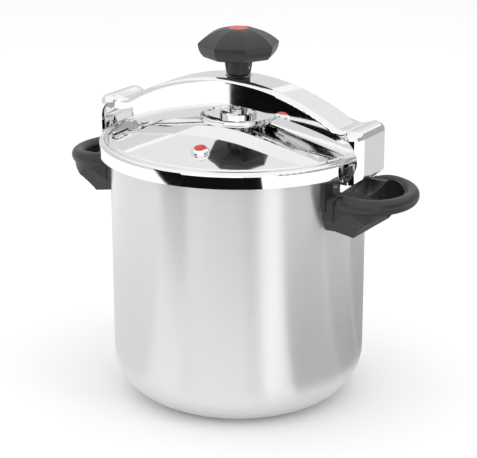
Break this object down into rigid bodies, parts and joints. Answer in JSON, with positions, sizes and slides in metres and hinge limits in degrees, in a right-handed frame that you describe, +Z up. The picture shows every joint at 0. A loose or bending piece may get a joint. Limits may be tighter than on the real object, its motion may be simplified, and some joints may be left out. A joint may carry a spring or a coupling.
{
  "type": "pressure canner",
  "caption": "Tall steel pressure canner with a domed lid clamped by an arched bridge, screw knob and side loop handles.",
  "frame": {"origin": "centre of the base, on the surface that the pot stands on", "axes": "+Z up along the pot's axis; +X along the bridge towards one handle; +Y towards the steam regulator"},
  "size_m": [0.3654, 0.26, 0.3523],
  "materials": {
    "pot_steel": "satin",
    "mirror_steel": "mirror polished",
    "bracket_steel": "polished",
    "fastener_steel": "bright",
    "core_aluminium": "plain",
    "bakelite": "satin moulded",
    "black_plastic": "satin moulded",
    "red_plastic": "gloss",
    "silicone": "matt"
  },
  "bodies": {
    "pot": {"pot_shell": "pot_steel", "base_core": "core_aluminium", "base_cap": "pot_steel", "bridge_bracket_left": "bracket_steel", "bridge_bracket_right": "bracket_steel", "handle_collar_left": "bakelite", "handle_collar_right": "bakelite", "handle_left": "bakelite", "handle_right": "bakelite", "handle_studs_left": "fastener_steel", "handle_studs_right": "fastener_steel", "handle_nuts_left": "fastener_steel", "handle_nuts_right": "fastener_steel"},
    "rack": {"jar_rack": "bracket_steel"},
    "lid": {"lid_shell": "mirror_steel", "gasket": "silicone", "lid_plate": "bracket_steel", "spindle_socket": "mirror_steel", "socket_rivets": "fastener_steel", "indicator_housing": "mirror_steel", "indicator_seal": "silicone", "indicator_nut": "fastener_steel", "regulator_stem": "fastener_steel", "regulator_seal": "silicone", "regulator_nut": "fastener_steel", "vent_filter": "bracket_steel"},
    "indicator": {"indicator_pin": "red_plastic"},
    "regulator_dial": {"regulator_sleeve": "black_plastic"},
    "regulator_cap": {"regulator_weight": "mirror_steel"},
    "swivel": {"thrust_foot": "fastener_steel"},
    "clamp_bridge": {"bridge_arch": "mirror_steel", "bridge_leg_left": "mirror_steel", "bridge_leg_right": "mirror_steel", "bridge_hooks_left": "mirror_steel", "bridge_hooks_right": "mirror_steel", "bridge_nut": "fastener_steel"},
    "clamp_screw": {"spindle": "fastener_steel", "knob": "bakelite", "knob_cap": "red_plastic", "knob_pin": "fastener_steel"}
  },
  "joints": [
    {"name": "lid_lift", "type": "slide", "parent": "pot", "child": "lid", "axis": [0, 0, 1], "range_m": [0, 0.0361]},
    {"name": "bridge_swing", "type": "hinge", "parent": "lid", "child": "swivel", "pos_m": [0, 0, 0.272], "axis": [0, 0, 1], "range_deg": [0, 60]},
    {"name": "bridge_rise", "type": "slide", "parent": "swivel", "child": "clamp_bridge", "axis": [0, 0, 1], "range_m": [-0.0015, 0.0029]},
    {"name": "knob_turn", "type": "hinge", "parent": "swivel", "child": "clamp_screw", "pos_m": [0, 0, 0.29], "axis": [0, 0, 1], "range_deg": [-348, 180]},
    {"name": "indicator_rise", "type": "slide", "parent": "lid", "child": "indicator", "axis": [0.0422, -0.23, 0.9723], "range_m": [0, 0.004]},
    {"name": "regulator_turn", "type": "hinge", "parent": "lid", "child": "regulator_dial", "pos_m": [0, 0.078, 0.25991], "axis": [0, 0.2183, 0.9759], "range_deg": [0, 120]},
    {"name": "regulator_cap_lift", "type": "slide", "parent": "lid", "child": "regulator_cap", "axis": [0, 0.2183, 0.9759], "range_m": [0, 0.003]},
    {"name": "rack_lift", "type": "slide", "parent": "pot", "child": "rack", "axis": [0, 0, 1], "range_m": [0, 0.2]}
  ],
  "couplings": [
    {"joint": "lid_lift", "follows": "bridge_swing", "m_per_rad": 0.034377},
    {"joint": "knob_turn", "follows": "bridge_rise", "rad_per_m": -2094.4}
  ]
}
